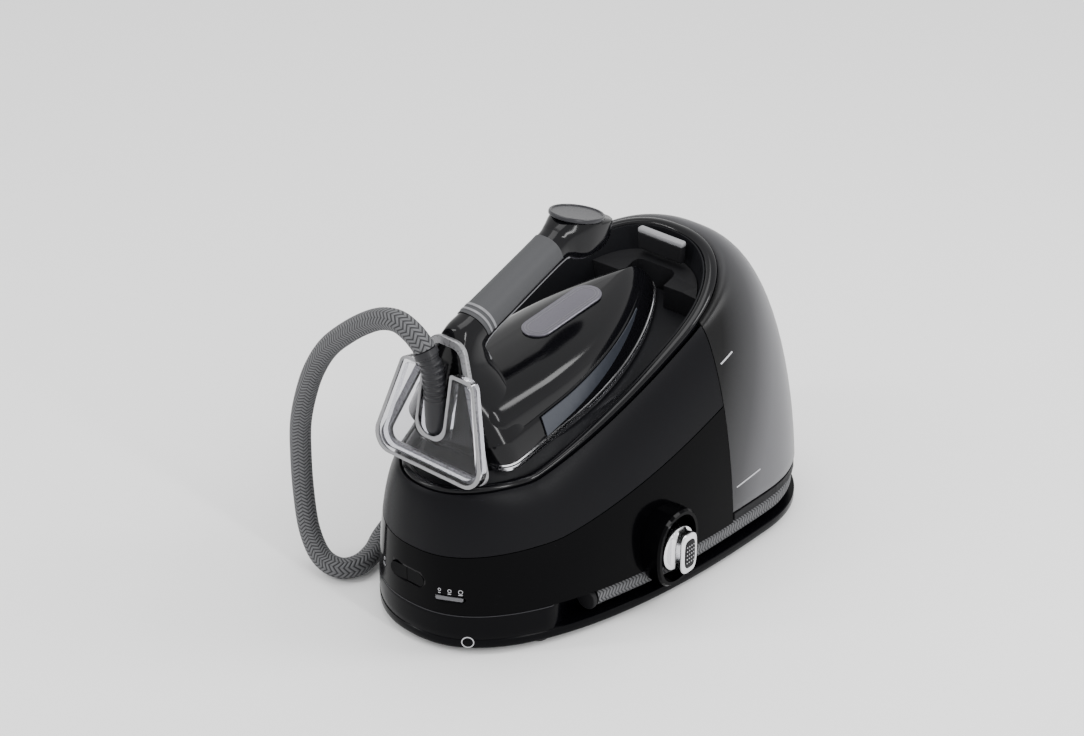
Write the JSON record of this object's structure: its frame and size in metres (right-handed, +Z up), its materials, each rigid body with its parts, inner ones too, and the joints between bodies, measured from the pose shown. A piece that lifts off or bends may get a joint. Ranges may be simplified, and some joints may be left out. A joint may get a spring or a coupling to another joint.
{
  "type": "steam generator iron",
  "caption": "Steam generator iron: base station with clear rear water tank, knob and lock lever, and an iron with an open handle parked in its sloping tray, joined by a braided hose.",
  "frame": {"origin": "on the floor, under the middle of the object without its hose", "axes": "+Z up, +Y towards the water tank, -Y towards the controls, +X towards the side with the knob"},
  "size_m": [0.3035, 0.4145, 0.3152],
  "materials": {
    "gloss_black": "glossy",
    "matte_black": "satin",
    "dark_satin": "satin",
    "grip_grey": "soft touch",
    "satin_grey": "satin",
    "silver_lilac": "satin metallic",
    "black_rubber": "matte",
    "braided_hose": "woven",
    "smoked_clear": "clear smoked",
    "clear_grey": "clear grey",
    "satin_chrome": "satin",
    "sole_steel": "polished",
    "spring_steel": "plain",
    "aluminium": "cast",
    "brass": "plain",
    "white_nylon": "plain",
    "board_green": "plain",
    "silicone": "plain"
  },
  "bodies": {
    "station": {"base_pan": "gloss_black", "boiler_feed_tube": "silicone", "boiler_heater": "spring_steel", "boiler_thermostat": "spring_steel", "boiler_vessel": "aluminium", "bulkhead": "dark_satin", "control_board": "board_green", "foot_front_left": "black_rubber", "foot_front_right": "black_rubber", "foot_rear_left": "black_rubber", "foot_rear_right": "black_rubber", "hose_gland": "black_rubber", "iron_tray": "dark_satin", "knob_housing": "gloss_black", "lock_housing": "dark_satin", "lower_shell": "gloss_black", "mode_light_bar": "clear_grey", "power_board": "board_green", "pump_mount": "black_rubber", "rim_trim": "gloss_black", "safety_valve": "brass", "status_light_lens": "clear_grey", "steam_hose": "braided_hose", "steam_tube": "silicone", "steam_valve": "spring_steel", "tank_floor": "dark_satin", "tank_seat_valve": "white_nylon", "tank_water_tube": "silicone", "upper_shell": "matte_black", "water_pump": "white_nylon"},
    "iron": {"soleplate": "sole_steel", "heater_block": "aluminium", "steam_chamber_cover": "aluminium", "iron_thermostat": "spring_steel", "thermal_fuse": "white_nylon", "iron_skirt": "gloss_black", "iron_body": "gloss_black", "handle_shell": "gloss_black", "handle_grip": "grip_grey", "handle_head_cap": "dark_satin", "trigger_spring": "spring_steel", "steam_switch": "white_nylon", "body_top_plate": "silver_lilac", "accent_left": "satin_grey", "accent_right": "satin_grey", "heel_rest": "clear_grey", "heel_trim": "satin_grey", "strain_relief": "black_rubber"},
    "trigger": {"steam_trigger": "gloss_black"},
    "lever": {"lock_lever": "satin_grey", "lock_spring": "spring_steel"},
    "power_button": {"power_button": "gloss_black"},
    "mode_button": {"mode_button": "gloss_black"},
    "knob": {"descale_knob": "satin_chrome", "descale_knob_pad": "black_rubber", "collector_cartridge": "white_nylon"},
    "tank": {"water_tank": "smoked_clear", "tank_outlet_valve": "white_nylon"},
    "flap": {"filler_flap": "smoked_clear"}
  },
  "joints": [
    {"name": "iron_lift", "type": "slide", "parent": "station", "child": "iron", "axis": [0, -0.42, 0.9075], "range_m": [0, 0.12], "deforming": ["steam_hose"]},
    {"name": "steam_trigger", "type": "hinge", "parent": "iron", "child": "trigger", "pos_m": [-0.0075, -0.06219, 0.2659], "axis": [1, 0, 0], "range_deg": [0, 5], "stiffness_Nm_per_rad": 0.8, "deforming": ["trigger_spring"]},
    {"name": "lock_lever", "type": "slide", "parent": "station", "child": "lever", "axis": [0, 1, 0], "range_m": [0, 0.0018], "stiffness_N_per_m": 400},
    {"name": "power_button", "type": "slide", "parent": "station", "child": "power_button", "axis": [0, 1, 0], "range_m": [0, 0.0015], "stiffness_N_per_m": 500},
    {"name": "mode_button", "type": "slide", "parent": "station", "child": "mode_button", "axis": [0, 1, 0], "range_m": [0, 0.0015], "stiffness_N_per_m": 500},
    {"name": "descale_knob", "type": "hinge", "parent": "station", "child": "knob", "pos_m": [0.1157, -0.03, 0.055], "axis": [1, 0, 0], "range_deg": [0, 90]},
    {"name": "tank_slide", "type": "slide", "parent": "station", "child": "tank", "axis": [0, 1, 0], "range_m": [0, 0.2]},
    {"name": "filler_flap", "type": "hinge", "parent": "tank", "child": "flap", "pos_m": [-0.0075, 0.151, 0.2378], "axis": [1, 0, 0], "range_deg": [0, 95]}
  ]
}
